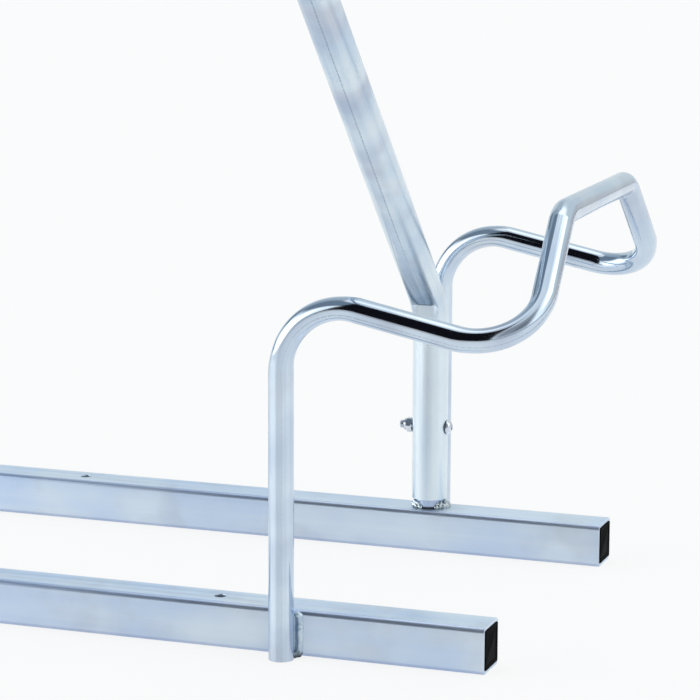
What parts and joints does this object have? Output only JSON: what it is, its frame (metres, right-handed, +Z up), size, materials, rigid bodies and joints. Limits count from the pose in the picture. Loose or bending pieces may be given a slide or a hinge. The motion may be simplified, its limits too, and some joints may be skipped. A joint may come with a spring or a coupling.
{
  "type": "bicycle rack",
  "caption": "Galvanised tube bicycle rack: square ground rails, a raised bent-pipe wheel loop at each end, and leaning pipe arms bolted over stubs.",
  "frame": {"origin": "on the floor, at the middle of the rack's bounding box seen from above", "axes": "+X along the ground rails, +Y away from the side the arms lean to, +Z up"},
  "size_m": [1.159, 0.6346, 0.8251],
  "materials": {
    "rail_tube": "galvanised, satin, with faint stains",
    "loop_pipe": "galvanised, bright and smooth",
    "arm_pipe": "galvanised, soft lengthwise lines",
    "weld_bead": "galvanised over a lumpy weld",
    "fastener": "bright zinc plate",
    "black_plug": "black moulded plastic"
  },
  "bodies": {
    "root": {"arm_bolt_left": "fastener", "arm_bolt_right": "fastener", "arm_cap_left": "black_plug", "arm_cap_right": "black_plug", "arm_nut_left": "fastener", "arm_nut_right": "fastener", "arm_stub_left": "arm_pipe", "arm_stub_right": "arm_pipe", "front_leg_weld_left_inner": "weld_bead", "front_leg_weld_left_outer": "weld_bead", "front_leg_weld_right_inner": "weld_bead", "front_leg_weld_right_outer": "weld_bead", "front_rail": "rail_tube", "front_rail_plug_left": "black_plug", "front_rail_plug_right": "black_plug", "lean_arm_left": "arm_pipe", "lean_arm_right": "arm_pipe", "rear_leg_weld_left_inner": "weld_bead", "rear_leg_weld_left_outer": "weld_bead", "rear_leg_weld_right_inner": "weld_bead", "rear_leg_weld_right_outer": "weld_bead", "rear_rail": "rail_tube", "rear_rail_plug_left": "black_plug", "rear_rail_plug_right": "black_plug", "stub_weld_left_inner": "weld_bead", "stub_weld_left_outer": "weld_bead", "stub_weld_right_inner": "weld_bead", "stub_weld_right_outer": "weld_bead", "wheel_loop_left": "loop_pipe", "wheel_loop_right": "loop_pipe"}
  },
  "joints": []
}
